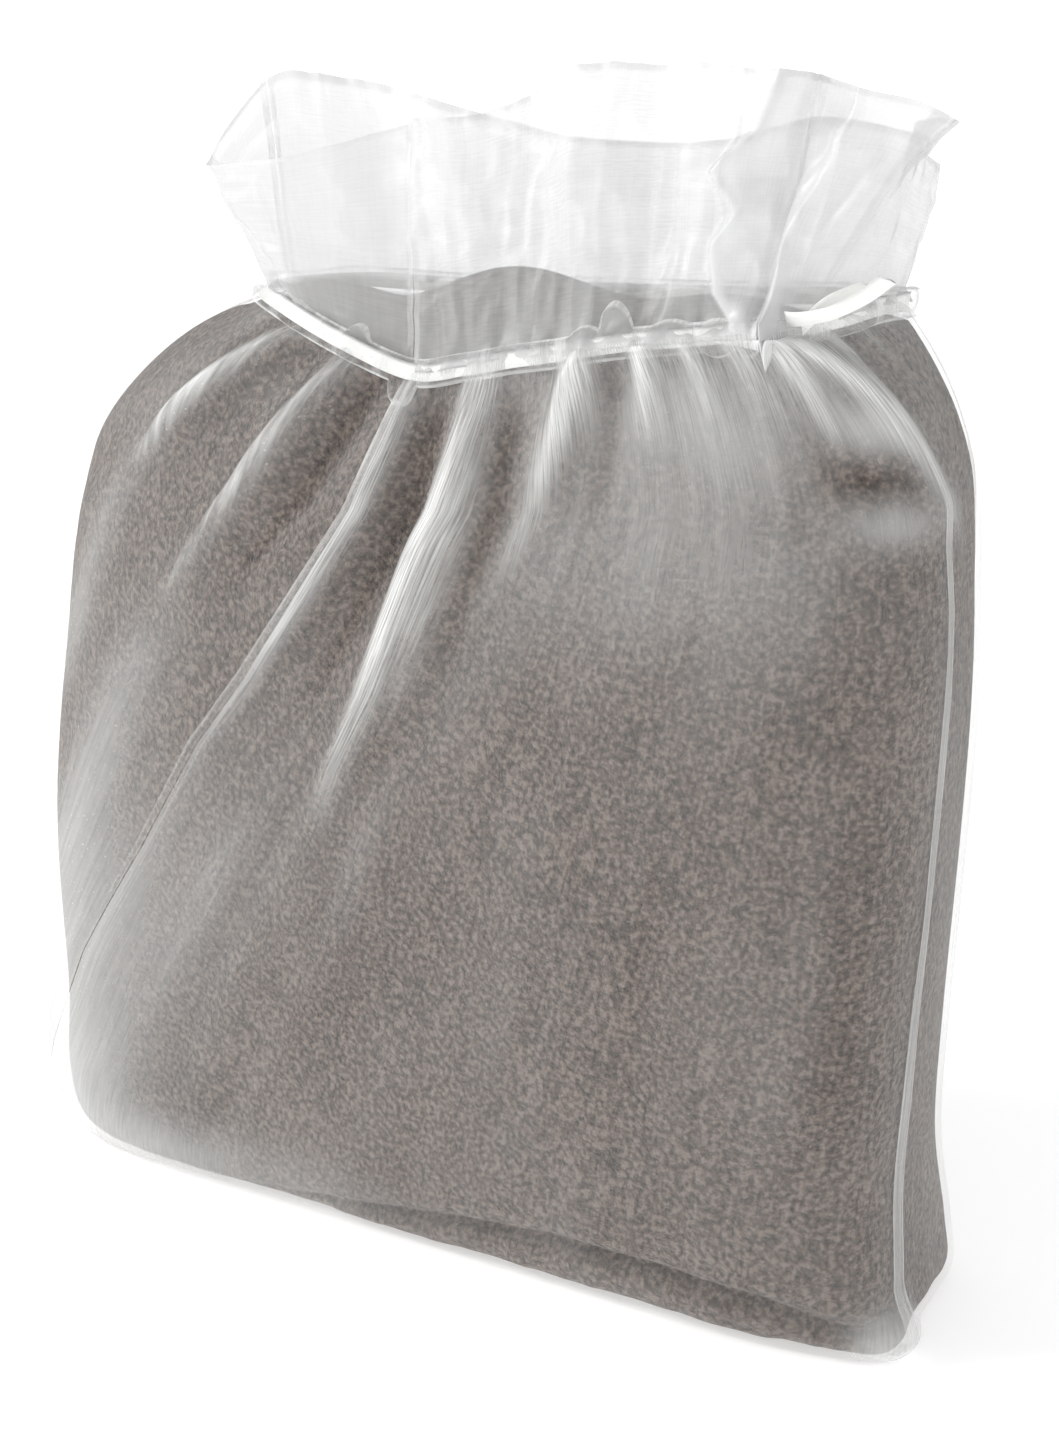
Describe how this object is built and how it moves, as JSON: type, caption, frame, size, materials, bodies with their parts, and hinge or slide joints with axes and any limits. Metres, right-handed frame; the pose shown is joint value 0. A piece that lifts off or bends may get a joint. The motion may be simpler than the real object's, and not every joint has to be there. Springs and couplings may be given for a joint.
{
  "type": "organza drawstring bag holding a folded fleece blanket",
  "caption": "Sheer white organza drawstring bag with a gathered ruffled mouth and a satin ribbon, filled by a folded taupe fleece blanket that holds its form.",
  "frame": {"origin": "on the floor under the middle of the bag's flat bottom", "axes": "front faces -Y, the viewer's right is +X, and the mouth opens toward +Z"},
  "size_m": [0.4307, 0.1339, 0.4751],
  "materials": {
    "organza": "sheer white organza with a fine plain weave and a silky shine",
    "seam": "doubled sheer white organza, whiter than one layer",
    "ribbon": "white satin ribbon, smooth and shiny",
    "fleece": "taupe plush fleece with a short soft pile"
  },
  "bodies": {
    "root": {"main_panel": "organza", "left_gusset": "organza", "right_gusset": "organza", "front_left_seam": "seam", "front_right_seam": "seam", "rear_left_seam": "seam", "rear_right_seam": "seam", "casing": "seam", "drawstring": "ribbon", "long_tail": "ribbon", "short_tail": "ribbon", "folded_blanket": "fleece"}
  },
  "joints": []
}
